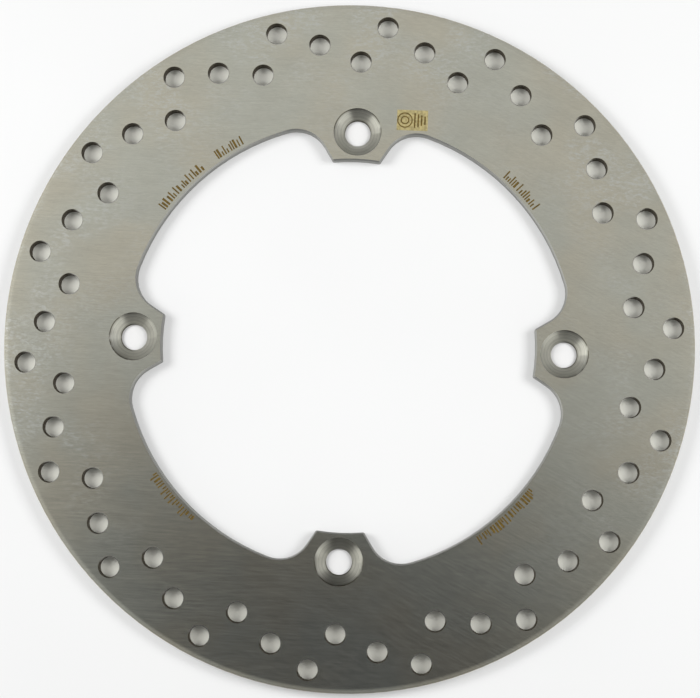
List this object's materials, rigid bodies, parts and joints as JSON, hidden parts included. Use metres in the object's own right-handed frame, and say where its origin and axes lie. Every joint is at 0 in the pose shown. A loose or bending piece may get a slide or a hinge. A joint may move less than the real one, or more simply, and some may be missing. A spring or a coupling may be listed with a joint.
{
  "type": "motorcycle brake disc",
  "caption": "Solid flat motorcycle brake disc: a ground steel ring with inward mounting ears, a countersunk screw hole in each ear, and swept rows of drilled vent holes.",
  "frame": {"origin": "centre of the disc on its hub side face, the one with no countersinks", "axes": "+Z along the wheel's axis, out of the face that holds the screw countersinks; the mounting ears lie along +X, +Y, -X and -Y"},
  "size_m": [0.24, 0.24, 0.005],
  "materials": {
    "ground_steel": "flat ground stainless steel with fine straight grinding lines"
  },
  "bodies": {
    "root": {"brake_disc": "ground_steel"}
  },
  "joints": []
}
